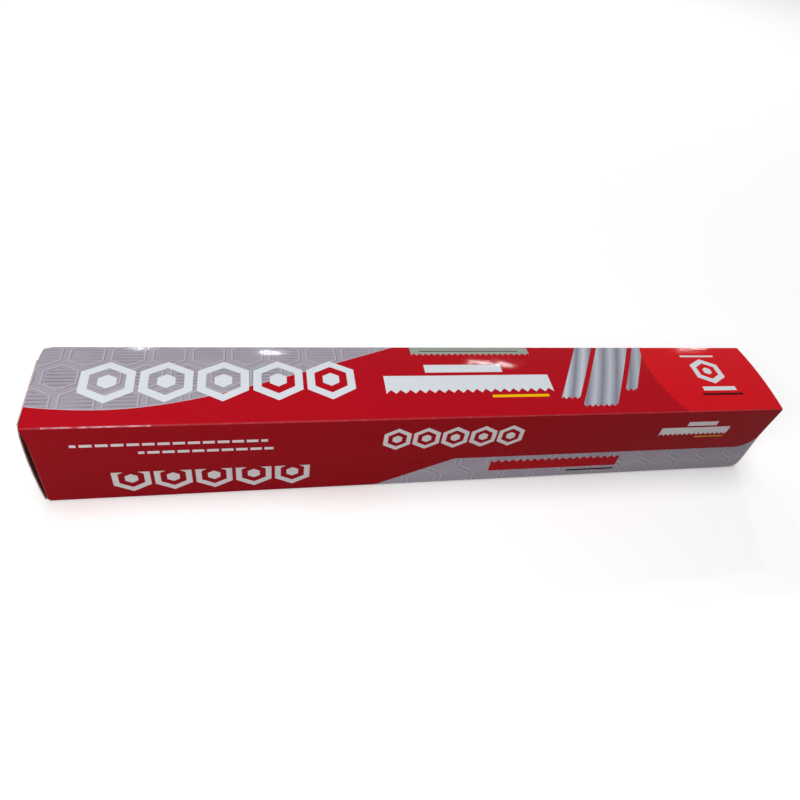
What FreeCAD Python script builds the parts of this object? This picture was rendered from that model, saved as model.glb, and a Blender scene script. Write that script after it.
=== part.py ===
"""Household aluminium foil in its dispensing carton: a folded boxboard tray, its hinged lid, a steel cutter
strip, a paper core and the foil wound on it.

Origin: centre of the tray's flat base. +X runs along the carton, -Y is the front, +Z is up. Millimetres.
"""
import FreeCAD, Part
import math
import os

# Roll
FOIL_WIDTH = 300.0
FOIL_BUILD = 0.95
CORE_BORE = 30.4
CORE_WALL = 1.5
CORE_OVERHANG = 2.0
TURN_STEP = 0.12
TURN_BANDS = 4
EDGE_WANDER = 0.35
TAIL_LENGTH = 11.0
TAIL_ANGLE = 118.0
TAIL_LIFT = 5.0
TAIL_CURL = 1.9

# Room round the roll
END_PLAY = 1.2
DEPTH_PLAY = 5.1
HEAD_ROOM = 6.1
REST_GAP = 0.1

# Boxboard and its folds
BOARD = 0.45
FOLD_RADIUS = 0.9
LAYER_GAP = 0.15
FOLD_RELIEF = 0.3

# Tray
FRONT_WALL_HEIGHT = 33.0
DUST_FLAP_LENGTH = 16.0
DUST_FLAP_TAPER = 4.0
END_PANEL_CHAMFER = 5.5
END_PANEL_GAP = 0.35
END_PANEL_STAND_OFF = 0.65
END_PANEL_BOW = 0.85

# Lid
LID_CROWN = 1.1
FLAP_DROP = 25.4
FLAP_TAPER = 1.8
FLAP_SHOULDER = 14.0
FLAP_CORNER_RADIUS = 10.0
LID_SIDE_INSET = 0.45
HINGE_DROP = 1.1
HINGE_GAP = 0.15

# Cutter strip
BLADE_LENGTH = 298.0
BLADE_THICKNESS = 0.2
BLADE_SEAT = 6.0
BLADE_RISE = 0.8
TOOTH_PITCH = 2.8
TOOTH_HEIGHT = 2.0
FLAP_CLEARANCE = 0.3

# Worked out from the sizes above
core_radius = CORE_BORE / 2 + CORE_WALL
roll_radius = core_radius + FOIL_BUILD
core_length = FOIL_WIDTH + 2 * CORE_OVERHANG
roll_axis_z = BOARD + REST_GAP + roll_radius

dust_inner_x = core_length / 2 + END_PLAY
dust_outer_x = dust_inner_x + BOARD
end_outer_x = dust_outer_x + LAYER_GAP + BOARD
wall_end_x = dust_outer_x - FOLD_RADIUS

tray_depth = 2 * roll_radius + DEPTH_PLAY + 2 * BOARD
wall_y = tray_depth / 2
flap_outer_y = wall_y + BLADE_THICKNESS + FLAP_CLEARANCE + BOARD
carton_height = roll_axis_z + roll_radius + HEAD_ROOM + BOARD
hinge_z = carton_height - HINGE_DROP
end_panel_y = wall_y - FOLD_RADIUS - FOLD_RELIEF
end_panel_top = carton_height - BOARD - END_PANEL_GAP
fold_overlap = 2 * FOLD_RADIUS


def vector(x, y, z):
    return FreeCAD.Vector(x, y, z)


def in_yz(u, v):
    return vector(0, u, v)


def in_xy(u, v):
    return vector(u, v, 0)


def in_xz(u, v):
    return vector(u, 0, v)


def fold_arc(corner, before, after, centre_distance, radius, place):
    """The arc at one fold, as (start, edge, end), about the fold's own centre on the left of the run."""
    turn = math.atan2(before[0] * after[1] - before[1] * after[0], before[0] * after[0] + before[1] * after[1])
    setback = centre_distance * math.tan(turn / 2)
    tangent = (corner[0] - setback * before[0], corner[1] - setback * before[1])
    centre = (tangent[0] - centre_distance * before[1], tangent[1] + centre_distance * before[0])
    first = math.atan2(-before[0], before[1])
    points = []
    for share in (0.0, 0.5, 1.0):
        angle = first + share * turn
        points.append(place(centre[0] + radius * math.cos(angle), centre[1] + radius * math.sin(angle)))
    return points[0], Part.Arc(*points).toShape(), points[2]


def bent_sheet(corners, place, bow=None):
    """Face of one board's section. The corners are its outer side, and every turn is to the left. Folds have the
    board's own radius. A board that bows out after its first fold has a corner there with the bow's radius."""
    runs = []
    for start, end in zip(corners, corners[1:]):
        length = math.hypot(end[0] - start[0], end[1] - start[1])
        runs.append(((end[0] - start[0]) / length, (end[1] - start[1]) / length))

    radii = [FOLD_RADIUS] * (len(corners) - 2)
    if bow:
        radii[1] = bow

    def side(inward):
        edges = []
        at = place(corners[0][0] - inward * runs[0][1], corners[0][1] + inward * runs[0][0])
        start = at
        for corner, before, after, radius in zip(corners[1:], runs, runs[1:], radii):
            begin, arc, finish = fold_arc(corner, before, after, radius, radius - inward, place)
            edges += [Part.makeLine(at, begin), arc]
            at = finish
        last = runs[-1]
        end = place(corners[-1][0] - inward * last[1], corners[-1][1] + inward * last[0])
        edges.append(Part.makeLine(at, end))
        return start, edges, end

    outer_start, outer, outer_end = side(0)
    inner_start, inner, inner_end = side(BOARD)
    closed = outer + [Part.makeLine(outer_end, inner_end)] + inner + [Part.makeLine(inner_start, outer_start)]
    return Part.Face(Part.Wire(Part.__sortEdges__(closed)))


def bow_radius(half_run, height):
    """Radius of the bow that lifts the middle of a run between two folds by about this height."""
    return (half_run - FOLD_RADIUS) * half_run / (2 * height)


def outline_prism(points, place, along):
    """Prism over a closed straight-sided outline."""
    corners = [place(*point) for point in points]
    return Part.Face(Part.makePolygon(corners + corners[:1])).extrude(along)


def mirrored(shape, normal):
    return shape.mirror(vector(0, 0, 0), normal)


def tray_walls():
    """Front wall, floor and back wall, folded up along the carton."""
    corners = [(-wall_y, FRONT_WALL_HEIGHT), (-wall_y, 0), (wall_y, 0), (wall_y, hinge_z - HINGE_GAP)]
    walls = bent_sheet(corners, in_yz).extrude(vector(2 * wall_end_x, 0, 0))
    walls.translate(vector(-wall_end_x, 0, 0))
    return walls


def dust_flap(top):
    """Flap folded in from the end of a wall at y = -wall_y, on the +X end, with its free corners cut back."""
    corners = [
        (wall_end_x - fold_overlap, -wall_y),
        (dust_outer_x, -wall_y),
        (dust_outer_x, -wall_y + DUST_FLAP_LENGTH),
    ]
    foot = FOLD_RADIUS + FOLD_RELIEF
    flap = bent_sheet(corners, in_xy).extrude(vector(0, 0, top - foot))
    flap.translate(vector(0, 0, foot))
    fold_y = -wall_y + FOLD_RADIUS
    free_y = -wall_y + DUST_FLAP_LENGTH
    shape = [
        (-wall_y - BOARD, foot),
        (fold_y, foot),
        (free_y, foot + DUST_FLAP_TAPER),
        (free_y, top - DUST_FLAP_TAPER),
        (fold_y, top),
        (-wall_y - BOARD, top),
    ]
    return flap.common(outline_prism(shape, in_yz, vector(2 * end_outer_x, 0, 0)))


def end_panel(stand_off, bow):
    """Outer closure of the +X end, folded up from the floor. It may stand off, and bow out half-way up."""
    rise = end_panel_top
    end_x = end_outer_x + stand_off
    corners = [(wall_end_x - fold_overlap, 0), (end_x, 0), (end_x, rise)]
    if bow:
        corners.insert(2, (end_x + 2 * bow, rise / 2))
        section = bent_sheet(corners, in_xz, bow_radius(rise / 2, bow))
    else:
        section = bent_sheet(corners, in_xz)
    panel = section.extrude(vector(0, 2 * end_panel_y, 0))
    panel.translate(vector(0, -end_panel_y, 0))
    shape = [
        (-end_panel_y, 0),
        (end_panel_y, 0),
        (end_panel_y, rise - END_PANEL_CHAMFER),
        (end_panel_y - END_PANEL_CHAMFER, rise),
        (-end_panel_y + END_PANEL_CHAMFER, rise),
        (-end_panel_y, rise - END_PANEL_CHAMFER),
    ]
    return panel.common(outline_prism(shape, in_yz, vector(2 * end_outer_x, 0, 0)))


def make_tray():
    """Tray folded from one blank. The -X end panel stands off and bows outward, the +X one is glued flat."""
    along_x = vector(1, 0, 0)
    along_y = vector(0, 1, 0)
    front_flap = dust_flap(FRONT_WALL_HEIGHT)
    back_flap = mirrored(dust_flap(hinge_z - HINGE_GAP), along_y)
    pieces = [
        front_flap,
        mirrored(front_flap, along_x),
        back_flap,
        mirrored(back_flap, along_x),
        end_panel(0, 0),
        mirrored(end_panel(END_PANEL_STAND_OFF, END_PANEL_BOW), along_x),
    ]
    return tray_walls().fuse(pieces).removeSplitter()


def make_lid():
    """Crowned top panel with the hinge fold behind and the front flap before, its sides cut in below a shoulder and
    its corners rounded."""
    low = carton_height - FLAP_DROP
    high = carton_height - FOLD_RADIUS
    half = end_outer_x - LID_SIDE_INSET
    half_span = (wall_y + flap_outer_y) / 2
    corners = [
        (wall_y, hinge_z),
        (wall_y, carton_height),
        (wall_y - half_span, carton_height + 2 * LID_CROWN),
        (-flap_outer_y, carton_height),
        (-flap_outer_y, low),
    ]
    section = bent_sheet(corners, in_yz, bow_radius(half_span, LID_CROWN))
    lid = section.extrude(vector(2 * half, 0, 0))
    lid.translate(vector(-half, 0, 0))
    cut_x = half - FLAP_TAPER
    cut = [(half, high), (cut_x, high - FLAP_SHOULDER), (cut_x, low), (half, low)]
    sliver = outline_prism(cut, in_xz, vector(0, wall_y, 0))
    sliver.translate(vector(0, -flap_outer_y, 0))
    lid = lid.cut([sliver, mirrored(sliver, vector(1, 0, 0))])
    corner_edges = []
    for edge in lid.Edges:
        middle = edge.CenterOfMass
        across = abs(edge.BoundBox.YLength - BOARD) < BOARD / 4
        at_side = abs(abs(middle.x) - cut_x) < BOARD / 4
        if across and at_side and abs(middle.z - low) < BOARD / 4:
            corner_edges.append(edge)
    return lid.makeFillet(FLAP_CORNER_RADIUS, corner_edges)


def make_blade():
    """Flat steel strip on the front wall, with a saw edge that stands above the board."""
    face_y = -wall_y - BLADE_THICKNESS
    low = FRONT_WALL_HEIGHT - BLADE_SEAT
    root = FRONT_WALL_HEIGHT + BLADE_RISE
    teeth = int(BLADE_LENGTH / TOOTH_PITCH)
    half = teeth * TOOTH_PITCH / 2
    points = [(-half, root), (-half, low), (half, low), (half, root)]
    for tooth in range(teeth):
        right = half - tooth * TOOTH_PITCH
        points.append((right - TOOTH_PITCH / 2, root + TOOTH_HEIGHT))
        points.append((right - TOOTH_PITCH, root))
    blade = outline_prism(points[:-1], in_xz, vector(0, BLADE_THICKNESS, 0))
    blade.translate(vector(0, face_y, 0))
    return blade


def make_core():
    """Paper tube, a little longer than the foil is wide."""
    outer = Part.makeCylinder(core_radius, core_length, vector(-core_length / 2, 0, roll_axis_z), vector(1, 0, 0))
    bore = Part.makeCylinder(CORE_BORE / 2, core_length, vector(-core_length / 2, 0, roll_axis_z), vector(1, 0, 0))
    return outer.cut(bore)


def make_foil():
    """Foil wound on the core: the outer turn ends in a step, and its free edge lifts a little off the roll."""
    first = math.radians(TAIL_ANGLE)
    out = vector(0, math.cos(first), math.sin(first))
    across = vector(0, math.sin(first), -math.cos(first))
    outer_root = out * roll_radius
    half_way = out * -roll_radius
    inner_root = out * (roll_radius - TURN_STEP)
    second_radius = roll_radius - TURN_STEP / 2
    turn = [
        Part.Arc(outer_root, across * roll_radius, half_way).toShape(),
        Part.Arc(half_way, out * (-TURN_STEP / 2) - across * second_radius, inner_root).toShape(),
    ]
    outline = Part.Wire(turn + tail_edges(outer_root, inner_root))
    roll = Part.Face(outline).extrude(vector(FOIL_WIDTH, 0, 0))
    bore = Part.makeCylinder(core_radius, FOIL_WIDTH, vector(0, 0, 0), vector(1, 0, 0))
    foil = roll.cut([bore] + band_recesses())
    foil.translate(vector(-FOIL_WIDTH / 2, 0, roll_axis_z))
    return foil


def band_recesses():
    """Rings to cut from the roll's ends. Bands of turns ran a little to one side or the other when wound."""
    width = (FOIL_BUILD - 2 * TURN_STEP) / TURN_BANDS
    rings = []
    for band in range(TURN_BANDS):
        inner = core_radius + band * width
        start = vector((band % 2) * (FOIL_WIDTH - EDGE_WANDER), 0, 0)
        ring = Part.makeCylinder(inner + width, EDGE_WANDER, start, vector(1, 0, 0))
        rings.append(ring.cut(Part.makeCylinder(inner, EDGE_WANDER, start, vector(1, 0, 0))))
    return rings


def tail_edges(outer_root, inner_root):
    """Edges of the last stretch of foil, from the inner root round its tip to the outer root."""
    curl_radius = roll_radius * TAIL_CURL
    root_angle = math.radians(TAIL_ANGLE - TAIL_LIFT)
    sweep = TAIL_LENGTH / curl_radius
    centre_y = outer_root.y - curl_radius * math.cos(root_angle)
    centre_z = outer_root.z - curl_radius * math.sin(root_angle)

    def on_arc(radius, share):
        angle = root_angle + share * sweep
        return vector(0, centre_y + radius * math.cos(angle), centre_z + radius * math.sin(angle))

    under = curl_radius - TURN_STEP
    return [
        Part.Arc(inner_root, on_arc(under, 0.5), on_arc(under, 1)).toShape(),
        Part.makeLine(on_arc(under, 1), on_arc(curl_radius, 1)),
        Part.Arc(on_arc(curl_radius, 1), on_arc(curl_radius, 0.5), outer_root).toShape(),
    ]


def main():
    os.makedirs("parts", exist_ok=True)
    nodes = {
        "carton_tray": make_tray(),
        "carton_lid": make_lid(),
        "cutter_blade": make_blade(),
        "core_tube": make_core(),
        "foil_roll": make_foil(),
    }
    for name, shape in nodes.items():
        box = shape.BoundBox
        print(
            f"{name}: {len(shape.Solids)} solid, valid {shape.isValid()}, {shape.Volume:.0f} mm3,"
            f" x {box.XMin:.2f} to {box.XMax:.2f}, y {box.YMin:.2f} to {box.YMax:.2f},"
            f" z {box.ZMin:.2f} to {box.ZMax:.2f}"
        )
        shape.exportStep(f"parts/{name}.step")
    print(f"hinge axis at y {wall_y - BOARD / 2:.3f}, z {carton_height - BOARD / 2:.3f}")
    print(f"roll axis at z {roll_axis_z:.3f}, roll radius {roll_radius:.3f}")


main()
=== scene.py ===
# %% [markdown]
# # A carton of kitchen foil
# The object is a slim box folded from printed board. Its lid is hinged along the back and hangs over the front,
# a saw-toothed steel strip sits under the lid's flap, and a roll of foil on a paper core lies inside.
# The solids come first, because they say where everything is. Each new piece is then made to their sizes.

# %% Load the solids
import math

import bmesh
import bpy
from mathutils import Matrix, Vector


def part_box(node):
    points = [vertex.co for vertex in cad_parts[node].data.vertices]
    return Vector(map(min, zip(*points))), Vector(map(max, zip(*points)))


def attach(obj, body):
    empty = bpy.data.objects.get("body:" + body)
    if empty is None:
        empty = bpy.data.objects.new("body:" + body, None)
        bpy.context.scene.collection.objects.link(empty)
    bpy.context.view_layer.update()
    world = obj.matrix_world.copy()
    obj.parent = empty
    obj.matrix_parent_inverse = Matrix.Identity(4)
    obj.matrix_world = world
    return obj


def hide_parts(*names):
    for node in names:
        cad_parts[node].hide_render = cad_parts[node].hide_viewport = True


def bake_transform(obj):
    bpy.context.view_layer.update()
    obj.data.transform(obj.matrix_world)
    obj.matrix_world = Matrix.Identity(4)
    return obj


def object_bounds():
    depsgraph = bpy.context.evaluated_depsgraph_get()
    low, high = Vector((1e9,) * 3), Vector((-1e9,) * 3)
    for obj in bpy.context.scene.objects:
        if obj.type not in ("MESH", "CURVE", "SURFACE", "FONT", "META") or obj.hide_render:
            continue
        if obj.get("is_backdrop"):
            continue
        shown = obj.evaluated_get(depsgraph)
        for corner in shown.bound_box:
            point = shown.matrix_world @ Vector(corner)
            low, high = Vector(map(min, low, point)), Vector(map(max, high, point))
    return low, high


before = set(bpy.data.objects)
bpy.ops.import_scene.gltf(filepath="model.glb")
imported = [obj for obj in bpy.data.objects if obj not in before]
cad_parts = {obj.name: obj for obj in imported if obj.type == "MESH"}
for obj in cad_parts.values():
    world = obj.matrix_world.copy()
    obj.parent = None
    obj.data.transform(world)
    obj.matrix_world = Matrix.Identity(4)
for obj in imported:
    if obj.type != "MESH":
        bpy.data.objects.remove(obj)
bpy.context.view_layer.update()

mm = 0.001
lid_low, lid_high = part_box("carton_lid")
tray_low, tray_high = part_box("carton_tray")
core_low, core_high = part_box("core_tube")
foil_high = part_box("foil_roll")[1]
print("lid", lid_low, lid_high)
print("tray", tray_low, tray_high)

# %% [markdown]
# ## Working by hand, in code
# Blender's operators act on whatever is selected, and loading a model leaves its parts selected. So every step
# starts by clearing the selection, and points are then picked by a rule about where they are.

# %% Selection helpers
def deselect():
    if bpy.context.mode != "OBJECT":
        bpy.ops.object.mode_set(mode="OBJECT")
    bpy.ops.object.select_all(action="DESELECT")


def edit(piece):
    """Open one piece, and no other, in edit mode."""
    deselect()
    piece.select_set(True)
    bpy.context.view_layer.objects.active = piece
    bpy.ops.object.mode_set(mode="EDIT")
    bpy.context.tool_settings.mesh_select_mode = (True, False, False)


def pick(piece, wanted):
    """Select the points of the piece in edit mode for which wanted(place on the flat blank) is true."""
    mesh = bmesh.from_edit_mesh(piece.data)
    blank = mesh.verts.layers.float_vector.get("blank")
    for point in mesh.verts:
        point.select_set(bool(wanted(point[blank] if blank else point.co)))
    mesh.select_flush_mode()
    bmesh.update_edit_mesh(piece.data)


def apply_modifiers(piece):
    deselect()
    piece.select_set(True)
    bpy.context.view_layer.objects.active = piece
    for modifier in list(piece.modifiers):
        bpy.ops.object.modifier_apply(modifier=modifier.name)


# %% [markdown]
# ## Camera and floor
# The camera stands where the photograph was taken from: close to the left half of the carton, looking down at
# about 45 degrees and tilted a little. Its place was worked out from the carton's outline.
# It comes before the pieces, so that every picture of the scene has the right view.

# %% Set the camera
camera_place = (-75.3 * mm, -189.6 * mm, 226.6 * mm)
camera_turn = (45.149, -9.47, -10.836)
camera_lens = 29.772
camera_data = bpy.data.cameras.new("view")
camera_data.lens = camera_lens
camera_data.sensor_width = 36
camera_data.shift_x = -0.0338
camera_data.shift_y = -0.0012
camera_data.clip_start = 5 * mm
camera = bpy.data.objects.new("view", camera_data)
camera.location = camera_place
camera.rotation_euler = [math.radians(angle) for angle in camera_turn]
bpy.context.scene.collection.objects.link(camera)
bpy.context.scene.camera = camera
print("camera at", camera_place)

# %% Lay the floor
deselect()
bpy.ops.mesh.primitive_plane_add(size=12, location=(0, 0, 0))
floor = bpy.context.active_object
floor.name = "floor"
floor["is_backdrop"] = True
print("floor laid")

# %% [markdown]
# ## Board that folds
# A carton starts as one flat sheet of printed board, cut and creased. It could be modelled already folded, but a
# sheet that is first drawn flat keeps a record of where each point was on the flat blank. The print is laid out on
# that blank, as the printer does it, and it stays in place when the board bends.
#
# A crease isn't a knife edge. Boxboard turns through its right angle over about a millimetre, so each fold is made
# of five small turns, one after another, and the light then runs along it as it does on the real box.

# %% Sizes of the board and its folds
board = 0.45 * mm
fold_radius = 0.9 * mm
fold_turns = 5
turn_pitch = 2 * fold_radius * math.tan(math.radians(90 / fold_turns / 2))
half_fold = turn_pitch * fold_turns / 2


def spread(start, end, count):
    """Evenly spaced numbers from start to end, both included."""
    return [start + (end - start) * step / count for step in range(count + 1)]


def fold_lines(middle):
    """The lines on the flat sheet at which one fold turns."""
    return [middle + (turn - (fold_turns - 1) / 2) * turn_pitch for turn in range(fold_turns)]


print("each fold takes", round(2 * half_fold / mm, 2), "mm of board")

# %% Make a flat sheet, line by line
def flat_sheet(name, half_length, lines, columns):
    """A flat sheet that runs along X, with a row of faces between each line and the next along Y."""
    deselect()
    bpy.ops.mesh.primitive_grid_add(x_subdivisions=columns, y_subdivisions=1, size=2)
    piece = bpy.context.active_object
    piece.name = name
    edit(piece)
    bpy.ops.mesh.select_all(action="SELECT")
    bpy.ops.transform.resize(value=(half_length, (lines[1] - lines[0]) / 2, 1))
    middle = (lines[0] + lines[1]) / 2
    bpy.ops.transform.translate(value=(0, middle, 0))
    pick(piece, lambda at: at.y > middle)
    for near, far in zip(lines[1:], lines[2:]):
        bpy.ops.mesh.extrude_region_move(TRANSFORM_OT_translate={"value": (0, far - near, 0)})
    return piece


def remember_blank(piece):
    """Store where each point lies on the flat blank, before anything is folded."""
    deselect()
    mesh = piece.data
    places = [component for point in mesh.vertices for component in point.co]
    mesh.attributes.new("blank", "FLOAT_VECTOR", "POINT").data.foreach_set("vector", places)


def reach(piece, axis, end):
    """How far the piece reaches along an axis, in millimetres. end is min or max."""
    return round(end(point.co[axis] for point in piece.data.vertices) / mm, 3)


def fold(piece, across, lines, degrees, toward, panel=lambda at: True):
    """Bend the sheet at each line in turn. across is 0 for lines of constant X and 1 for constant Y."""
    edit(piece)
    tiny = 0.02 * mm
    for line in lines:
        mesh = bmesh.from_edit_mesh(piece.data)
        blank = mesh.verts.layers.float_vector["blank"]
        on_line = [p.co for p in mesh.verts if abs(p[blank][across] - line) < tiny and panel(p[blank])]
        centre = sum(on_line, Vector()) / len(on_line)
        pick(piece, lambda at: toward * (at[across] - line) > tiny and panel(at))
        bpy.ops.transform.rotate(
            value=-math.radians(degrees / len(lines)),
            orient_axis="YX"[across],
            orient_type="GLOBAL",
            center_override=centre,
        )
    deselect()


# %% [markdown]
# ## The lid
# The lid is the top panel with a flap hanging from its front edge. The roll's box is full, so the top panel is
# crowned: it rises by about a millimetre to its middle. The flap's sides slope in and its lower corners are round,
# so that it doesn't catch when it is pushed shut. Behind, the lid bends down over the back wall. That bend is the
# hinge, so the piece includes the first few millimetres of the back wall.
#
# The flat sheet is shaped first: each line near the flap's free edge is made shorter, which rounds the corners
# without a separate cut.

# %% Lines of the lid's blank
flap_face = -lid_low.y
wall_face = lid_high.y
lid_half = lid_high.x
panel_gap = 0.35 * mm
fold_height = tray_high.z + panel_gap + board
crown = 1.1 * mm
flap_taper = 1.8 * mm
flap_shoulder = 14.0 * mm
corner_radius = 10.0 * mm
corner_steps = 8
back_hem = 2.5 * mm
columns = 88

slope = math.atan(2 * crown / ((flap_face + wall_face) / 2))
steep = math.pi / 2 - slope
fold_reach = turn_pitch / 2 / math.tan(steep / fold_turns / 2) * math.tan(steep / 2)
flap_edge = -half_fold - (fold_height - fold_reach - lid_low.z)
top_run = flap_face + wall_face - 2 * fold_reach * math.cos(slope)
back_fold = 2 * half_fold + top_run * slope / math.sin(slope)
hem_edge = back_fold + half_fold + back_hem

corner_lines = []
for step in range(corner_steps + 1):
    angle = math.radians(90 * step / corner_steps)
    corner_lines.append(flap_edge + corner_radius * (1 - math.cos(angle)))
shoulder = -half_fold - flap_shoulder
flap_lines = corner_lines + [shoulder] + spread(shoulder, -half_fold, 3)[1:]
top_lines = spread(half_fold, back_fold - half_fold, 8)
lid_lines = flap_lines + fold_lines(0) + top_lines + fold_lines(back_fold) + [back_fold + half_fold, hem_edge]
print(len(lid_lines), "lines,", round((hem_edge - flap_edge) / mm, 1), "mm from edge to edge")

# %% Draw the lid flat
lid = flat_sheet("lid_board", lid_half, lid_lines, columns)
for line in flap_lines[:-1]:
    share = min(1, (line + half_fold) / (shoulder + half_fold))
    half_width = lid_half - flap_taper * share
    below_corner = max(0.0, flap_edge + corner_radius - line)
    half_width -= corner_radius - math.sqrt(max(0.0, corner_radius**2 - below_corner**2))
    pick(lid, lambda at: abs(at.y - line) < 0.01 * mm)
    bpy.ops.transform.resize(value=(half_width / lid_half, 1, 1), center_override=(0, line, 0))
remember_blank(lid)
print("lid drawn flat")

# %% [markdown]
# The folds come after. The whole sheet is tilted by the slope of the crown's foot, the flap is folded down, the top
# panel then bends back a little at each of its lines, and the hinge fold brings the sheet down to the back wall.

# %% Place it and fold it
edit(lid)
bpy.ops.mesh.select_all(action="SELECT")
foot_behind = -flap_face + fold_reach * math.cos(slope)
crown_foot = Vector((0, foot_behind, fold_height + fold_reach * math.sin(slope)))
bpy.ops.transform.translate(value=crown_foot - Vector((0, half_fold, 0)))
bpy.ops.transform.rotate(value=-slope, orient_axis="X", orient_type="GLOBAL", center_override=crown_foot)
fold(lid, 1, list(reversed(fold_lines(0))), math.degrees(steep), -1)
bend = -math.degrees(2 * slope)
fold(lid, 1, top_lines[:1], bend / 16, 1)
fold(lid, 1, top_lines[1:-1], bend * 14 / 16, 1)
fold(lid, 1, top_lines[-1:], bend / 16, 1)
fold(lid, 1, fold_lines(back_fold), -math.degrees(steep), 1)
print("lid folded, from", reach(lid, 2, min), "to", reach(lid, 2, max))

# %% [markdown]
# ## Unevenness
# Thin board is never quite even. The top panel dips here and there by a few tenths of a millimetre, too little to
# see as a shape but enough to break up the reflection of a lamp. A cloud texture pushes the points of the top panel
# down, and a vertex group keeps the folds and the flap out of it.

# %% Let the top panel dip
dip = 0.25 * mm
dip_spacing = 55 * mm
edit(lid)
pick(lid, lambda at: top_lines[1] - mm < at.y < top_lines[-2] + mm and abs(at.x) < lid_half - 2 * mm)
top_group = lid.vertex_groups.new(name="top")
bpy.ops.object.vertex_group_assign()
clouds = bpy.data.textures.new("board_dips", "CLOUDS")
clouds.noise_scale = dip_spacing
clouds.noise_depth = 1
deselect()
dips = lid.modifiers.new("dips", "DISPLACE")
dips.texture = clouds
dips.texture_coords = "LOCAL"
dips.direction = "Z"
dips.mid_level = 1.0
dips.strength = dip
dips.vertex_group = top_group.name
apply_modifiers(lid)
lid.vertex_groups.clear()
middle = [point.co.z / mm for point in lid.data.vertices if abs(point.co.y) < 2 * mm]
print("the crown lies between", min(middle), "and", max(middle))

# %% [markdown]
# Handling has bent the lid's left corner at the back: its tip points down, and the board beside it has risen a
# little. Proportional editing does this as a thumb would, one point pushed and its neighbours following.

# %% Bend the back corner
def press(piece, x, y, push, size):
    """Move the point of the blank nearest to x, y by push, and the points within size of it a little less."""
    edit(piece)
    mesh = bmesh.from_edit_mesh(piece.data)
    blank = mesh.verts.layers.float_vector["blank"]
    nearest = min(mesh.verts, key=lambda point: (point[blank] - Vector((x, y, 0))).length)
    place = nearest[blank].copy()
    pick(piece, lambda at: (at - place).length < 0.01 * mm)
    bpy.ops.transform.translate(
        value=push, use_proportional_edit=True, proportional_edit_falloff="SMOOTH", proportional_size=size
    )
    deselect()


press(lid, -lid_half + 7 * mm, top_lines[-2], (0, 0, 0.3 * mm), 9 * mm)
press(lid, -lid_half, top_lines[-1], (0, 0, -0.9 * mm), 4 * mm)
print("corner bent")

# %% [markdown]
# ## Giving the board its thickness
# The sheet so far is the printed side. Solidify adds the other side and the cut edges, and it can give each its own
# material: print outside, bare board inside, and the white core of the board along every cut.

# %% Thickness and the record of the blank
def make_board(piece, materials):
    """Turn a folded sheet into board: print outside, bare board inside and on the cut edges."""
    for material in materials:
        piece.data.materials.append(material)
    thickness = piece.modifiers.new("thickness", "SOLIDIFY")
    thickness.thickness = board
    thickness.offset = -1
    thickness.use_even_offset = True
    thickness.material_offset = 1
    thickness.material_offset_rim = 2
    apply_modifiers(piece)
    bpy.ops.object.shade_smooth_by_angle(angle=math.radians(40))
    mesh = piece.data
    places = mesh.attributes["blank"].data
    printed = mesh.uv_layers.new(name="Blank")
    flat = [component for loop in mesh.loops for component in places[loop.vertex_index].vector[:2]]
    printed.uv.foreach_set("vector", flat)
    print(piece.name, len(mesh.polygons), "faces")


# %% [markdown]
# ## The tray
# The tray is one blank as well: front wall, base and back wall in a strip, a dust flap at each end of both walls,
# and an end panel at each end of the base. All of it is drawn flat, then folded in the order that a person would
# use: flaps, end panels, walls. The left end panel stands a little off the flaps behind it and bows outward, as in
# the photograph, so its fold lies further out and stops short of a right angle.

# %% Lines of the tray's blank
front_wall = 33.0 * mm
layer_gap = 0.15 * mm
fold_relief = 0.3 * mm
flap_reach = 16.0 * mm
flap_cut = 4.0 * mm
panel_cut = 5.5 * mm
panel_front_cut = 1.2 * mm
panel_stand_off = {-1: 0.65 * mm, 1: 0.0}
panel_bow = {-1: 3.8, 1: 0.0}

seam_height = min(point.co.z for point in lid.data.vertices if point.co.y > 0)
base_half = wall_face - fold_radius
panel_half = base_half - fold_relief
wall_fold = base_half + half_fold
wall_start = wall_fold + half_fold
foot = wall_start + fold_relief
front_end = -(wall_start + front_wall - fold_radius)
back_end = wall_start + seam_height - fold_radius
strip_half = tray_high.x - board - layer_gap - fold_radius

front_lines = spread(front_end, -foot, 6) + [-wall_start]
base_lines = [-base_half] + spread(-panel_half, panel_half, 6) + [base_half]
back_lines = [wall_start] + spread(foot, back_end, 6)
tray_lines = front_lines + fold_lines(-wall_fold) + base_lines + fold_lines(wall_fold) + back_lines
print("tray blank", round((back_end - front_end) / mm, 1), "mm across, seam at", round(seam_height / mm, 2))


# %% Draw the tray flat
def extend(piece, side, low, high, lines):
    """Extrude the end edge of the strip between low and high outward to each line in turn."""
    near_end = lambda at: abs(at.x - side * strip_half) < 0.01 * mm
    pick(piece, lambda at: near_end(at) and low - 0.01 * mm < at.y < high + 0.01 * mm)
    for near, far in zip([strip_half] + lines, lines):
        bpy.ops.mesh.extrude_region_move(TRANSFORM_OT_translate={"value": (side * (far - near), 0, 0)})


def narrow(piece, at_x, low, high, new_half):
    """Shorten one column of a flap about its middle."""
    middle = (low + high) / 2
    pick(piece, lambda at: abs(at.x - at_x) < 0.01 * mm and low - 0.01 * mm < at.y < high + 0.01 * mm)
    share = new_half / ((high - low) / 2)
    bpy.ops.transform.resize(value=(1, share, 1), center_override=(at_x, middle, 0))


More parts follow.
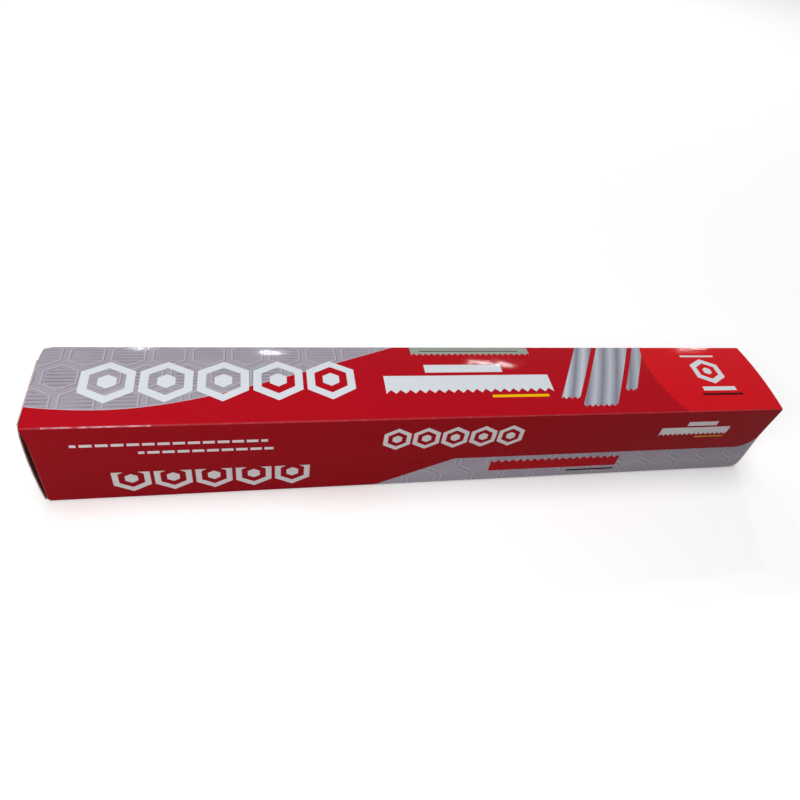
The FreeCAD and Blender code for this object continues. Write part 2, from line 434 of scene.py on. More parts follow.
tray = flat_sheet("tray_board", strip_half, tray_lines, columns)
flap_fold = strip_half + half_fold
flap_start = flap_fold + half_fold
flap_ends = spread(flap_start, flap_start + flap_reach - fold_radius, 4)
panel_fold = {}
panel_ends = {}
for side in (-1, 1):
    panel_start = tray_high.x + panel_stand_off[side] - fold_radius
    panel_fold[side] = panel_start + half_fold
    panel_rise = panel_start + 2 * half_fold + tray_high.z - fold_radius
    panel_ends[side] = spread(panel_fold[side] + half_fold, panel_rise - panel_cut, 5)
    for low, high in ((front_end, -foot), (foot, back_end)):
        extend(tray, side, low, high, fold_lines(flap_fold) + flap_ends)
        for end in flap_ends[1:]:
            cut = flap_cut * (end - flap_start) / (flap_ends[-1] - flap_start)
            narrow(tray, side * end, low, high, (high - low) / 2 - cut)
    panel_lines = [panel_start] + fold_lines(panel_fold[side]) + panel_ends[side] + [panel_rise]
    extend(tray, side, -panel_half, panel_half, panel_lines)
    narrow(tray, side * panel_rise, -panel_half, panel_half, panel_half - (panel_cut + panel_front_cut) / 2)
    bpy.ops.transform.translate(value=(0, (panel_front_cut - panel_cut) / 2, 0))
bpy.ops.mesh.select_all(action="SELECT")
bpy.ops.mesh.flip_normals()
remember_blank(tray)
print("tray drawn flat,", round(2 * panel_rise / mm, 1), "mm from tip to tip")

# %% Fold the tray
for side in (-1, 1):
    for wall in (-1, 1):
        is_flap = lambda at: side * at[0] > strip_half + 0.01 * mm and wall * at[1] > wall_start
        fold(tray, 0, [side * line for line in fold_lines(flap_fold)], -90 * side, side, is_flap)
    is_panel = lambda at: abs(at[1]) < base_half
    bow = panel_bow[side]
    fold(tray, 0, [side * line for line in fold_lines(panel_fold[side])], -side * (90 - bow), side, is_panel)
    if bow:
        fold(tray, 0, [side * line for line in panel_ends[side][1:]], -side * 2 * bow, side, is_panel)
for wall in (-1, 1):
    fold(tray, 1, [wall * line for line in fold_lines(wall_fold)], 90 * wall, wall)
print("tray folded, from", reach(tray, 0, min), "to", reach(tray, 0, max))

# %% [markdown]
# The tray's lower corner at the front, on the right, has been knocked too. It is blunt by about a millimetre.

# %% Knock the lower corner
press(tray, strip_half, -wall_start, (-0.5 * mm, 0.1 * mm, 1.3 * mm), 5 * mm)
print("corner knocked")

# %% [markdown]
# ## Ink on the blank
# The print is fields of flat colour. Each is a rule in the material: a point takes the ink if its place on the blank
# lies in the field. The rules read the UV map that holds the flat blank, so a field can run across a fold and stays
# sharp at any distance. A small class keeps the node building readable: it holds the place on the blank, makes
# masks, and lays one ink over another.

# %% A drawing made of masks
def ink(red, green, blue):
    """A colour as a picture editor gives it, from 0 to 255, made linear for the shader."""
    shares = [value / 255 for value in (red, green, blue)]
    return tuple(v / 12.92 if v <= 0.04045 else ((v + 0.055) / 1.055) ** 2.4 for v in shares) + (1.0,)


class Drawing:
    """Inks laid over each other on a flat blank. Places are in metres on the blank."""

    def __init__(self, name, ground):
        self.material = bpy.data.materials.new(name)
        self.material.use_nodes = True
        self.tree = self.material.node_tree
        place = self.tree.nodes.new("ShaderNodeUVMap")
        place.uv_map = "Blank"
        split = self.tree.nodes.new("ShaderNodeSeparateXYZ")
        self.tree.links.new(place.outputs["UV"], split.inputs[0])
        self.x, self.y = split.outputs["X"], split.outputs["Y"]
        self.colour = ground

    def put(self, socket, value):
        if isinstance(value, bpy.types.NodeSocket):
            self.tree.links.new(value, socket)
        else:
            socket.default_value = value

    def calc(self, operation, *values):
        node = self.tree.nodes.new("ShaderNodeMath")
        node.operation = operation
        for socket, value in zip(node.inputs, values):
            self.put(socket, value)
        return node.outputs[0]

    def paint(self, colour, mask):
        """Lay an ink over what is there, where the mask is 1."""
        node = self.tree.nodes.new("ShaderNodeMix")
        node.data_type = "RGBA"
        self.put(node.inputs["Factor"], mask)
        self.put(node.inputs["A"], self.colour)
        self.put(node.inputs["B"], colour)
        self.colour = node.outputs["Result"]

    def both(self, first, second):
        return self.calc("MULTIPLY", first, second)

    def between(self, value, low, high):
        return self.calc("COMPARE", value, (low + high) / 2, (high - low) / 2)

    def box(self, left, right, low, high):
        return self.both(self.between(self.x, left, right), self.between(self.y, low, high))

    def from_middle(self, x, y):
        return self.calc("SUBTRACT", self.x, x), self.calc("SUBTRACT", self.y, y)


# %% Shapes for the print
def hexagon(drawing, x, y):
    """How far a place is from the middle of a hexagon with upright sides, measured square to its nearest side."""
    across = drawing.calc("ABSOLUTE", x)
    slant = drawing.calc("MULTIPLY", drawing.calc("ABSOLUTE", y), math.sqrt(3) / 2)
    slant = drawing.calc("MULTIPLY_ADD", across, 0.5, slant)
    return drawing.calc("MAXIMUM", across, slant)


def honeycomb(drawing, pitch, x, y):
    """Distance from the middle of the nearest cell of a honeycomb that has a cell centred on x, y."""
    rise = pitch * math.sqrt(3)
    cells = []
    for shift in (0, 0.5):
        across, along = drawing.from_middle(x - shift * pitch, y - shift * rise)
        across = drawing.calc("WRAP", across, pitch / 2, -pitch / 2)
        along = drawing.calc("WRAP", along, rise / 2, -rise / 2)
        cells.append(hexagon(drawing, across, along))
    return drawing.calc("MINIMUM", *cells)


def chain(drawing, left, middle, pitch, count, size, hole, core):
    """A row of hexagon rings with a solid hexagon in each."""
    x = drawing.calc("WRAP", drawing.calc("SUBTRACT", drawing.x, left), pitch, 0)
    x = drawing.calc("SUBTRACT", x, pitch / 2)
    y = drawing.calc("SUBTRACT", drawing.y, middle)
    far = hexagon(drawing, x, y)
    ring = drawing.between(far, hole, size)
    solid = drawing.calc("LESS_THAN", far, core)
    row = drawing.between(drawing.x, left, left + count * pitch)
    return drawing.both(drawing.calc("ADD", ring, solid), row)


def saw_band(drawing, left, right, low, high, tooth):
    """A straight band with a saw edge along its lower side."""
    zigzag = drawing.calc("PINGPONG", drawing.calc("SUBTRACT", drawing.x, left), tooth / 2)
    height = drawing.calc("SUBTRACT", drawing.y, zigzag)
    band = drawing.both(drawing.calc("GREATER_THAN", height, low), drawing.calc("LESS_THAN", drawing.y, high))
    return drawing.both(band, drawing.between(drawing.x, left, right))


def ellipse(drawing, x, y, half_width, half_height):
    across, up = drawing.from_middle(x, y)
    across = drawing.calc("POWER", drawing.calc("DIVIDE", across, half_width), 2)
    up = drawing.calc("POWER", drawing.calc("DIVIDE", up, half_height), 2)
    return drawing.calc("LESS_THAN", drawing.calc("ADD", across, up), 1)


# %% [markdown]
# ## Varnished print
# The inks lie under a clear varnish that follows every unevenness of the board. It is glossy but reflects little, so
# the inks stay deep and only a lamp shows in it. Two sizes of noise in the bump, one fine as the board's fibres and
# one wide as a fingertip, break up what it reflects.

# %% Mix the inks
red_ink = ink(174, 12, 27)
bright_red_ink = ink(207, 17, 28)
lid_greys = (ink(160, 154, 165), ink(132, 126, 139), ink(182, 177, 188))
# The front wall's greys are the lid's grey ink painted lighter, as a painted sheen for the light on the front wall.
lightened_front_greys = (ink(200, 190, 204), ink(164, 155, 169), ink(228, 219, 232))
pale_ink = ink(212, 217, 223)
white_ink = ink(250, 242, 244)
silver_ink = ink(150, 158, 150)
yellow_ink = ink(236, 188, 8)
dark_ink = ink(56, 10, 14)

print("inks mixed")

# %% Noise and bump
def noise(drawing, scale, detail):
    texture = drawing.tree.nodes.new("ShaderNodeTexNoise")
    texture.inputs["Scale"].default_value = scale
    texture.inputs["Detail"].default_value = detail
    place = drawing.tree.nodes.new("ShaderNodeUVMap")
    place.uv_map = "Blank"
    drawing.tree.links.new(place.outputs["UV"], texture.inputs["Vector"])
    return texture.outputs["Fac"]


def bump(drawing, height, distance, below=None):
    node = drawing.tree.nodes.new("ShaderNodeBump")
    node.inputs["Distance"].default_value = distance
    drawing.put(node.inputs["Height"], height)
    if below:
        drawing.put(node.inputs["Normal"], below)
    return node.outputs["Normal"]


print("noise and bump ready")

# %% [markdown]
# The grey has a honeycomb in it, tone on tone, with a darker and a lighter line side by side along each cell. The
# eye takes the pair for a raised line, though the board is flat, and the bump of the varnish helps it a little.

# %% Grey with a honeycomb
honeycomb_pitch = 14.6 * mm
line_half = 0.26 * mm
line_shift = 0.24 * mm


def paint_grey_field(drawing, field, greys, x, y, line_gap, stripes):
    """Grey ink with a honeycomb whose lines look raised, and level stripes in its cells."""
    middle_grey, dark_grey, light_grey = greys
    drawing.paint(middle_grey, field)
    edge = honeycomb_pitch / 2 - line_gap
    dark_side = honeycomb(drawing, honeycomb_pitch, x + line_shift, y - line_shift)
    light_side = honeycomb(drawing, honeycomb_pitch, x - line_shift, y + line_shift)
    stripe = drawing.calc("PINGPONG", drawing.y, 0.9 * mm)
    stripe = drawing.calc("LESS_THAN", stripe, 0.34 * mm)
    inside = drawing.calc("LESS_THAN", dark_side, edge - 0.8 * mm)
    faint = drawing.calc("MULTIPLY_ADD", noise(drawing, 70, 1), 2.4 * stripes, -0.65 * stripes)
    drawing.paint(dark_grey, drawing.both(drawing.both(stripe, inside), drawing.both(field, faint)))
    dark_line = drawing.both(field, drawing.between(dark_side, edge - line_half, edge + line_half))
    light_line = drawing.both(field, drawing.between(light_side, edge - line_half, edge + line_half))
    drawing.paint(dark_grey, drawing.calc("MULTIPLY", dark_line, 0.75))
    drawing.paint(light_grey, drawing.calc("MULTIPLY", light_line, 0.75))
    return light_line


print("honeycomb of", round(honeycomb_pitch / mm, 1), "mm cells")

# %% Varnish over the print
def varnish(drawing, embossed):
    """Close a drawing with the clear varnish over it."""
    shader = drawing.tree.nodes["Principled BSDF"]
    drawing.put(shader.inputs["Base Color"], drawing.colour)
    shader.inputs["Specular IOR Level"].default_value = 0.025
    gloss = drawing.calc("MULTIPLY_ADD", noise(drawing, 120, 2), 0.08, 0.02)
    drawing.put(shader.inputs["Roughness"], gloss)
    wide = bump(drawing, noise(drawing, 60, 2), 0.1 * mm)
    fine = bump(drawing, noise(drawing, 420, 3), 0.02 * mm, wide)
    drawing.put(shader.inputs["Normal"], bump(drawing, embossed, 0.01 * mm, fine))
    return drawing.material


print("varnish ready")

# %% [markdown]
# ## What is printed where
# The lid is grey at the back left and red elsewhere, with a brighter red disc at the right. On these fields lie plain
# shapes in the other inks: a chain of hexagons, bands with a saw edge, thin lines, and three slanted strips of foil.

# %% Lay out the lid's print
top_shift = half_fold - crown_foot.y
flap_shift = fold_height - fold_reach + half_fold


def on_top(y):
    """Place on the blank of a point y millimetres behind the carton's middle, on the top panel."""
    return y * mm + top_shift


def on_flap(z):
    """Place on the blank of a point z millimetres above the floor, on the flap."""
    return z * mm - flap_shift


def grey_edge(drawing, along):
    """1 behind the long curve that parts the grey from the red."""
    run = drawing.calc("ADD", drawing.x, 122.5 * mm)
    root = drawing.calc("SQRT", drawing.calc("MULTIPLY_ADD", run, run, (45 * mm) ** 2))
    curve = drawing.calc("MULTIPLY_ADD", root, 0.394, drawing.calc("MULTIPLY_ADD", run, 0.07, on_top(-31.4)))
    above = drawing.calc("SUBTRACT", along, curve)
    return drawing.calc("GREATER_THAN", above, 0), drawing.between(above, 0, 0.35 * mm)


print("a place on the lid's top lies", round(top_shift / mm, 2), "mm further along its blank")

# %% Print the lid
lid_print = Drawing("lid_print", red_ink)
on_panel = lid_print.calc("GREATER_THAN", lid_print.y, 0)
grey_side, rim = grey_edge(lid_print, lid_print.y)
grey_field = lid_print.both(grey_side, on_panel)
grey_lines = paint_grey_field(lid_print, grey_field, lid_greys, 1.25 * mm, on_top(2.4), 1.5 * mm, 1.0)
lid_print.paint(lid_greys[2], lid_print.both(rim, on_panel))
disc = ellipse(lid_print, 142 * mm, on_top(5), 45 * mm, 45 * mm)
lid_print.paint(pale_ink, chain(lid_print, -139 * mm, on_top(0), 20.4 * mm, 5, 9.4 * mm, 6.3 * mm, 3.2 * mm))
lid_print.paint(pale_ink, saw_band(lid_print, -26 * mm, 46 * mm, on_top(-8.5), on_top(1.5), 4.0 * mm))
lid_print.paint(pale_ink, lid_print.box(-8 * mm, 26 * mm, on_top(3.4), on_top(8.2)))
lid_print.paint(yellow_ink, lid_print.box(18 * mm, 43 * mm, on_top(-11.4), on_top(-10.0)))
lid_print.paint(silver_ink, saw_band(lid_print, -12 * mm, 42 * mm, on_top(14.6), back_fold, 2.6 * mm))
lid_print.paint(dark_ink, lid_print.box(-8 * mm, 37 * mm, on_top(17.2), on_top(17.7)))
print("lid top printed")

# %% Draw strips of foil on the lid
slant = lid_print.calc("MULTIPLY_ADD", lid_print.calc("SUBTRACT", lid_print.y, on_top(0)), -0.55, lid_print.x)
teeth = lid_print.calc("PINGPONG", slant, 1.3 * mm)
lower_end = lid_print.calc("SUBTRACT", lid_print.y, teeth)
sheen = lid_print.calc("PINGPONG", lid_print.calc("MULTIPLY_ADD", lid_print.y, 0.12, slant), 3.4 * mm)
sheen = lid_print.calc("DIVIDE", sheen, 3.4 * mm)
for left, right, lower, tone in ((55, 63.5, -13, 0.95), (66, 82, -17.5, 0.75), (84.5, 90, -9, 0.6)):
    strip = lid_print.between(slant, left * mm, right * mm)
    strip = lid_print.both(strip, lid_print.calc("GREATER_THAN", lower_end, on_top(lower)))
    strip = lid_print.both(strip, lid_print.calc("LESS_THAN", lid_print.y, back_fold))
    lid_print.paint(ink(128, 128, 140), strip)
    lid_print.paint(ink(196, 202, 212), lid_print.both(strip, lid_print.calc("MULTIPLY", sheen, tone)))
lid_print.paint(bright_red_ink, lid_print.both(disc, on_panel))
print("strips drawn")

# %% Print the small shapes
far = hexagon(lid_print, *lid_print.from_middle(127 * mm, on_top(3)))
lid_print.paint(pale_ink, lid_print.between(far, 4.6 * mm, 7.2 * mm))
lid_print.paint(pale_ink, lid_print.calc("LESS_THAN", far, 2 * mm))
lid_print.paint(pale_ink, lid_print.box(118 * mm, 136 * mm, on_top(13.0), on_top(14.2)))
lid_print.paint(pale_ink, lid_print.box(119 * mm, 136 * mm, on_top(-9.6), on_top(-7.2)))
lid_print.paint(dark_ink, lid_print.box(117 * mm, 138 * mm, on_top(-12.4), on_top(-11.2)))
for row, (start, end) in enumerate(((-140, -72), (-118, -70))):
    middle = 32.6 - 4.6 * row
    dashes = lid_print.calc("PINGPONG", lid_print.calc("SUBTRACT", lid_print.x, start * mm), 2.6 * mm)
    dashes = lid_print.calc("LESS_THAN", dashes, 2.1 * mm)
    line = lid_print.box(start * mm, end * mm, on_flap(middle - 0.7), on_flap(middle + 0.7))
    lid_print.paint(white_ink, lid_print.both(line, dashes))
lid_print.paint(white_ink, chain(lid_print, -28 * mm, on_flap(30.6), 12 * mm, 5, 5.5 * mm, 3.7 * mm, 1.9 * mm))
lid_print.paint(white_ink, saw_band(lid_print, 97 * mm, 132 * mm, on_flap(27.0), on_flap(32.0), 2.4 * mm))
lid_print.paint(white_ink, lid_print.box(109 * mm, 124 * mm, on_flap(33.0), on_flap(35.6)))
lid_print.paint(yellow_ink, lid_print.box(116 * mm, 131 * mm, on_flap(25.3), on_flap(26.0)))
print("small shapes printed")

# %% Wear the front crease and paint a highlight on it
# A pale line along the front crease: partly worn ink, partly a painted highlight of the light along the fold.
worn_and_highlit = lid_print.calc("LESS_THAN", lid_print.calc("ABSOLUTE", lid_print.y), 0.28 * mm)
patchy = lid_print.calc("MULTIPLY_ADD", noise(lid_print, 260, 3), 3.0, -1.0)
# Strongest over the left stretch, where the painted highlight lies.
highlight_stretch = lid_print.between(lid_print.x, -147 * mm, -112 * mm)
patchy = lid_print.calc("MULTIPLY", lid_print.calc("MULTIPLY_ADD", highlight_stretch, 0.8, 0.12), patchy)
patchy = lid_print.calc("MINIMUM", lid_print.calc("MAXIMUM", patchy, 0.06), 0.9)
lid_print.paint(ink(232, 200, 210), lid_print.both(worn_and_highlit, patchy))
lid_print_material = varnish(lid_print, grey_lines)
print("lid printed, its front crease worn")

# %% [markdown]
# The front wall's grey is the lid's grey painted lighter, as a painted sheen. The back wall has the lid's grey, and
# its honeycomb is laid out from the seam, where the lid's blank ends and the tray's begins, so that the cells run
# across it.

# %% Print the tray
tray_print = Drawing("tray_print", red_ink)
front_shift = wall_start - fold_radius


def on_front(z):
    """Place on the blank of a point z millimetres above the floor, on the front wall."""
    return -z * mm - front_shift


on_front_wall = tray_print.calc("LESS_THAN", tray_print.y, -wall_fold)
front_height = tray_print.calc("MULTIPLY_ADD", tray_print.y, -1, -front_shift)
front_edge = tray_print.calc("MULTIPLY_ADD", tray_print.calc("ADD", tray_print.x, 24 * mm), 0.47, 2.3 * mm)
front_field = tray_print.both(on_front_wall, tray_print.calc("LESS_THAN", front_height, front_edge))
on_back_wall = tray_print.calc("GREATER_THAN", tray_print.y, wall_fold)
along_back = tray_print.calc("MULTIPLY_ADD", tray_print.y, -1, back_end + hem_edge)
back_field = tray_print.both(on_back_wall, grey_edge(tray_print, along_back)[0])
seam_middle = back_end + hem_edge - on_top(2.4)
front_comb = paint_grey_field(tray_print, front_field, lightened_front_greys, 0, on_front(15), 1.3 * mm, 0.3)
back_comb = paint_grey_field(tray_print, back_field, lid_greys, 1.25 * mm, seam_middle, 1.5 * mm, 1.0)
tray_print.paint(white_ink, chain(tray_print, -130 * mm, on_front(12), 15 * mm, 5, 6.8 * mm, 4.6 * mm, 2.3 * mm))
red_band = saw_band(tray_print, 22 * mm, 84 * mm, on_front(13.6), on_front(6.4), 3.4 * mm)
tray_print.paint(bright_red_ink, red_band)
tray_print.paint(dark_ink, tray_print.box(60 * mm, 84 * mm, on_front(4.6), on_front(3.6)))
tray_print_material = varnish(tray_print, tray_print.calc("MAXIMUM", front_comb, back_comb))
print("tray printed")

# %% [markdown]
# ## Bare board, paper, foil and steel
# Where there is no print, the pattern comes from the place in space instead of the blank. Bare board is greyish
# and slightly fibrous, and is painted darker than its own grey, as painted shade in the gap at the left end. Its cut
# edges are paler.

# %% Materials without print
def plain_material(name, colour, roughness, metallic=0.0):
    drawing = Drawing(name, colour)
    shader = drawing.tree.nodes["Principled BSDF"]
    shader.inputs["Roughness"].default_value = roughness
    shader.inputs["Metallic"].default_value = metallic
    return drawing, shader


def object_noise(drawing, stretch, scale, detail):
    """Noise on the piece's own coordinates, stretched along X, Y and Z."""
    place = drawing.tree.nodes.new("ShaderNodeTexCoord")
    mapping = drawing.tree.nodes.new("ShaderNodeMapping")
    mapping.inputs["Scale"].default_value = stretch
    texture = drawing.tree.nodes.new("ShaderNodeTexNoise")
    texture.inputs["Scale"].default_value = scale
    texture.inputs["Detail"].default_value = detail
    drawing.tree.links.new(place.outputs["Object"], mapping.inputs["Vector"])
    drawing.tree.links.new(mapping.outputs["Vector"], texture.inputs["Vector"])
    return texture.outputs["Fac"]


def fibrous(name, colour, dark, grain):
    drawing, shader = plain_material(name, colour, 0.85)
    shader.inputs["Specular IOR Level"].default_value = 0.25
    fibres = object_noise(drawing, (0.25, 1, 1), grain, 4)
    drawing.paint(dark, drawing.calc("MULTIPLY", fibres, 0.6))
    drawing.put(shader.inputs["Base Color"], drawing.colour)
    drawing.put(shader.inputs["Normal"], bump(drawing, fibres, 0.03 * mm))
    return drawing.material


# Darker than bare board's own grey: painted shade for the narrow gap at the carton's left end.
darkened_bare_board = fibrous("darkened_bare_board", ink(146, 136, 124), ink(112, 103, 93), 1400)
board_edge = fibrous("board_edge", ink(216, 188, 188), ink(190, 156, 156), 2600)
core_paper = fibrous("core_paper", ink(168, 140, 106), ink(132, 104, 74), 900)
print("board and paper ready")

# %% Metals
def steel_strip():
    drawing, shader = plain_material("steel_strip", ink(176, 178, 182), 0.32, 1.0)
    rolled = object_noise(drawing, (0.03, 1, 1), 3000, 2)
    drawing.put(shader.inputs["Roughness"], drawing.calc("MULTIPLY_ADD", rolled, 0.25, 0.2))
    drawing.put(shader.inputs["Base Color"], drawing.colour)
    drawing.put(shader.inputs["Normal"], bump(drawing, rolled, 0.01 * mm))
    return drawing.material


def bright_foil():
    drawing, shader = plain_material("bright_foil", ink(206, 208, 212), 0.2, 1.0)
    rolled = object_noise(drawing, (1, 0.02, 0.02), 1500, 2)
    dents = object_noise(drawing, (0.35, 1, 1), 120, 3)
    drawing.put(shader.inputs["Roughness"], drawing.calc("MULTIPLY_ADD", rolled, 0.18, 0.18))
    drawing.put(shader.inputs["Base Color"], drawing.colour)
    creased = bump(drawing, dents, 0.35 * mm)
    drawing.put(shader.inputs["Normal"], bump(drawing, rolled, 0.01 * mm, creased))
    return drawing.material


blade_steel = steel_strip()
foil_metal = bright_foil()
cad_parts["cutter_blade"].data.materials.clear()
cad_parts["cutter_blade"].data.materials.append(blade_steel)
print("metals ready")

# %% [markdown]
# ## Board on both pieces
# Now both sheets get their thickness and print.

# %% Finish lid and tray
make_board(lid, [lid_print_material, darkened_bare_board, board_edge])
make_board(tray, [tray_print_material, darkened_bare_board, board_edge])
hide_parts("carton_lid")
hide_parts("carton_tray")
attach(tray, "tray")
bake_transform(lid)

# %% [markdown]
# ## The core and the foil
# The core is a paper tube. The foil on it is wound tight, so only its outer turn is drawn as a sheet: a strip bent
# line by line round the roll, with its free edge lifting a little at the front, where fingers take hold of it.

# %% Make the core tube
core_radius = core_high.y
core_half = core_high.x
axis_height = (core_low.z + core_high.z) / 2
core_wall = 1.5 * mm
deselect()
bpy.ops.mesh.primitive_cylinder_add(
    vertices=72, radius=core_radius, depth=2 * core_half, end_fill_type="NOTHING",
    location=(0, 0, axis_height), rotation=(0, math.radians(90), 0),
)
core = bpy.context.active_object
core.name = "core_paper_tube"
bpy.ops.object.transform_apply(location=True, rotation=True, scale=True)
core.data.materials.append(core_paper)
tube_wall = core.modifiers.new("wall", "SOLIDIFY")
tube_wall.thickness = core_wall
tube_wall.offset = -1
rim = core.modifiers.new("rim", "BEVEL")
rim.width = 0.2 * mm
rim.segments = 2
rim.limit_method = "ANGLE"
apply_modifiers(core)
bpy.ops.object.shade_smooth_by_angle(angle=math.radians(40))
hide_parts("core_tube")
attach(core, "tray")
print("core", len(core.data.polygons), "faces")

# %% Wind the outer turn
roll_radius = foil_high.y
foil_half = foil_high.x
turn_step = 0.12 * mm
tail_length = 11 * mm
tail_angle = 118
tail_lift = 5
tail_curl = 1.9
wind_steps = 72
step_angle = 360 / wind_steps
step_length = 2 * (roll_radius - turn_step / 2) * math.tan(math.radians(step_angle / 2))
wind_lines = [(step + 0.5) * step_length for step in range(wind_steps)]
tail_lines = spread(-tail_length, 0, 6)[:-1]
foil = flat_sheet("foil_wound", foil_half, tail_lines + [0] + wind_lines + [wind_steps * step_length], 40)
remember_blank(foil)
start_angle = math.radians(tail_angle)
edit(foil)
bpy.ops.mesh.select_all(action="SELECT")
root = (0, roll_radius * math.cos(start_angle), axis_height + roll_radius * math.sin(start_angle))
bpy.ops.transform.translate(value=root)
bpy.ops.transform.rotate(value=-(start_angle - math.pi / 2), orient_axis="X", center_override=root)
inward = turn_step / wind_steps / step_length
fold(foil, 1, wind_lines, -360 - 2 * math.degrees(inward), 1)
fold(foil, 1, [0], -tail_lift, -1)
fold(foil, 1, list(reversed(tail_lines[1:])), math.degrees(tail_length / (roll_radius * tail_curl)), -1)
print("foil wound, lowest", reach(foil, 2, min))
foil.data.materials.append(foil_metal)
skin = foil.modifiers.new("skin", "SOLIDIFY")
skin.thickness = 0.06 * mm
skin.offset = -1
apply_modifiers(foil)
bpy.ops.object.shade_smooth_by_angle(angle=math.radians(30))

# %% Fill in the turns below it
deselect()
bpy.ops.mesh.primitive_cylinder_add(
    vertices=96, radius=roll_radius - 1.5 * turn_step, depth=2 * foil_half, end_fill_type="NGON",
    location=(0, 0, axis_height), rotation=(0, math.radians(90), 0),
)
turns = bpy.context.active_object
turns.name = "foil_turns"
bpy.ops.object.transform_apply(location=True, rotation=True, scale=True)
edit(turns)
turns_mesh = bmesh.from_edit_mesh(turns.data)
bpy.context.tool_settings.mesh_select_mode = (False, False, True)
for face in turns_mesh.faces:
    face.select_set(abs(face.normal.x) > 0.9)
bmesh.update_edit_mesh(turns.data)
band = (roll_radius - 1.5 * turn_step - core_radius) / 3
for wander in (-0.15, 0.15, -0.1):
    bpy.ops.mesh.inset(thickness=band, depth=wander * mm)
bpy.ops.mesh.bridge_edge_loops()
bpy.ops.mesh.select_all(action="SELECT")
bpy.ops.mesh.normals_make_consistent(inside=False)
deselect()
turns.data.materials.append(foil_metal)
turns.select_set(True)
bpy.context.view_layer.objects.active = turns
bpy.ops.object.shade_smooth_by_angle(angle=math.radians(30))
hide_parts("foil_roll")
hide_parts("foil_roll")
for piece in (foil, turns):
    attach(piece, "tray")
print("turns filled in")

# %% [markdown]
# ## Light
# A broad sun straight overhead stands for a studio's ceiling light. It leaves the front wall in half shade and puts
# only a soft shadow round the foot. Small lamps far behind the carton are seen as glints near the top panel's back
# edge, and one in front at the left runs along the front fold. They are small, so that they light little else.

# %% Set the lights
def add_sun(name, strength, spread_angle, direction):
    data = bpy.data.lights.new(name, "SUN")
    data.energy = strength
    data.angle = math.radians(spread_angle)
    sun = bpy.data.objects.new(name, data)
    sun.rotation_euler = Vector(direction).to_track_quat("Z", "Y").to_euler()
    bpy.context.scene.collection.objects.link(sun)


def add_lamp(name, power, size, spot, direction, distance):
    """A lamp that is seen mirrored at the spot, in millimetres, if it lies in that direction from it."""
    data = bpy.data.lights.new(name, "AREA")
    data.energy = power
    data.shape = "RECTANGLE"
    data.size, data.size_y = size
    lamp = bpy.data.objects.new(name, data)
    toward = Vector(direction).normalized()
    lamp.location = Vector(spot) * mm + toward * distance
    lamp.rotation_euler = toward.to_track_quat("Z", "Y").to_euler()
    bpy.context.scene.collection.objects.link(lamp)


add_sun("ceiling", 1.66, 40, (0.03, 0.06, 1.0))
add_lamp("back_left", 1.2, (0.05, 0.02), (-121, 17, 43), (-0.15, 0.84, 0.51), 1.3)
add_lamp("back_middle", 1.2, (0.07, 0.015), (-69, 16, 43), (0.02, 0.835, 0.545), 1.3)
add_lamp("back_right", 1.2, (0.11, 0.012), (23, 10, 43), (0.34, 0.75, 0.58), 1.3)
add_lamp("back_far", 0.45, (0.05, 0.01), (128, 17, 43), (0.59, 0.69, 0.42), 1.3)
add_lamp("front_left", 1.0, (0.2, 0.1), (-140, -21, 30), (-0.11, -0.28, 0.32), 0.43)
print("lights set")

# %% [markdown]
# ## World and floor
# The world lights the carton softly from all sides, and the floor throws some of that light back on the walls. For
# the camera and for mirrored rays the floor is white, as a studio's paper is, and the world goes from white overhead
# to a pale grey at the horizon, so that foil and steel have something to mirror. A Light Path node tells these rays
# from the rest. The same rays see the floor glow a little, which lifts its far parts to white and keeps the shadow.

# %% Colour the world
def seen_directly(tree):
    """1 for rays from the camera and for mirrored and refracted rays, 0 for scattered light."""
    path = tree.nodes.new("ShaderNodeLightPath")
    total = path.outputs["Is Camera Ray"]
    for kind in ("Is Glossy Ray", "Is Transmission Ray"):
        node = tree.nodes.new("ShaderNodeMath")
        node.operation = "MAXIMUM"
        tree.links.new(total, node.inputs[0])
        tree.links.new(path.outputs[kind], node.inputs[1])
        total = node.outputs[0]
    return total


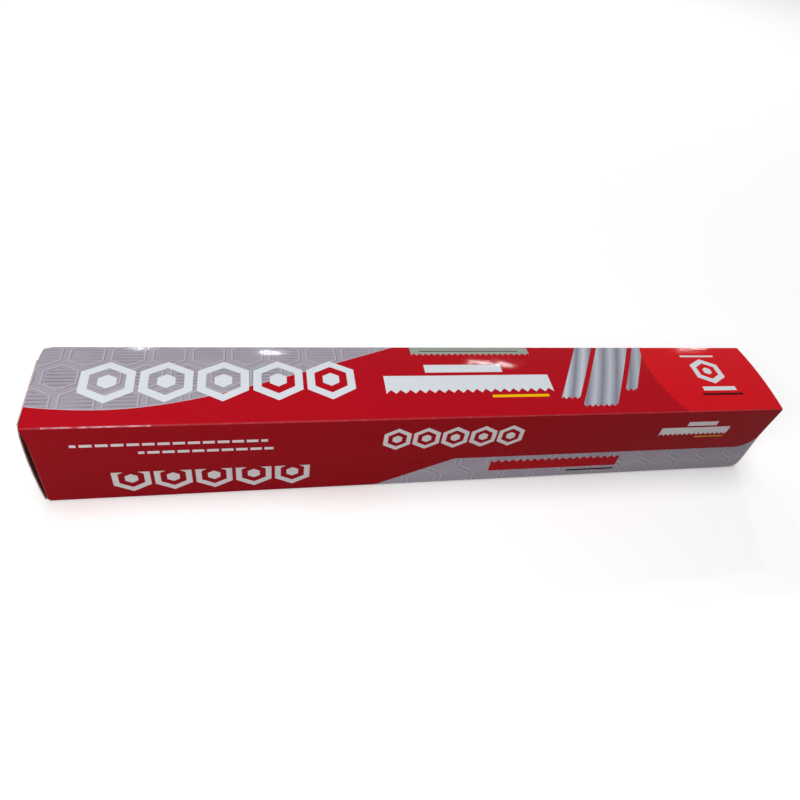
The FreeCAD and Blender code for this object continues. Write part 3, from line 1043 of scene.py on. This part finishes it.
def between_values(tree, scattered, seen):
    """The first value for scattered light, the second for what is seen."""
    node = tree.nodes.new("ShaderNodeMapRange")
    node.inputs["To Min"].default_value = scattered
    node.inputs["To Max"].default_value = seen
    tree.links.new(seen_directly(tree), node.inputs["Value"])
    return node


def sky_tone(tree, horizon, overhead):
    """Brightness of the world by height."""
    place = tree.nodes.new("ShaderNodeTexCoord")
    split = tree.nodes.new("ShaderNodeSeparateXYZ")
    tree.links.new(place.outputs["Generated"], split.inputs[0])
    node = tree.nodes.new("ShaderNodeMapRange")
    node.inputs["From Max"].default_value = 0.8
    node.inputs["To Min"].default_value = horizon
    node.inputs["To Max"].default_value = overhead
    tree.links.new(split.outputs["Z"], node.inputs["Value"])
    return node.outputs["Result"]


world = bpy.data.worlds.new("studio")
bpy.context.scene.world = world
world.use_nodes = True
background = world.node_tree.nodes["Background"]
background.inputs["Color"].default_value = (1, 1, 1, 1)
sky = between_values(world.node_tree, 0.09, 1.0)
world.node_tree.links.new(sky_tone(world.node_tree, 0.7, 1.0), sky.inputs["To Max"])
world.node_tree.links.new(sky.outputs["Result"], background.inputs["Strength"])

print("world coloured")

# %% Colour the floor
floor_material = bpy.data.materials.new("floor")
floor_material.use_nodes = True
floor_tree = floor_material.node_tree
floor_shader = floor_tree.nodes["Principled BSDF"]
floor_tone = between_values(floor_tree, 0.3, 1.0)
floor_tree.links.new(floor_tone.outputs["Result"], floor_shader.inputs["Base Color"])
floor_glow = between_values(floor_tree, 0.0, 0.13)
floor_tree.links.new(floor_glow.outputs["Result"], floor_shader.inputs["Emission Strength"])
floor_shader.inputs["Emission Color"].default_value = (1, 1, 1, 1)
floor_shader.inputs["Roughness"].default_value = 0.9
floor_shader.inputs["Specular IOR Level"].default_value = 0.0
floor.data.materials.append(floor_material)
bpy.context.scene.view_settings.view_transform = "Standard"
print("floor coloured")

# %% [markdown]
# ## Last look at the sizes
# The dressed carton must keep to the solids' box, so its own box is measured.

# %% Measure the sizes
low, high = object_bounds()
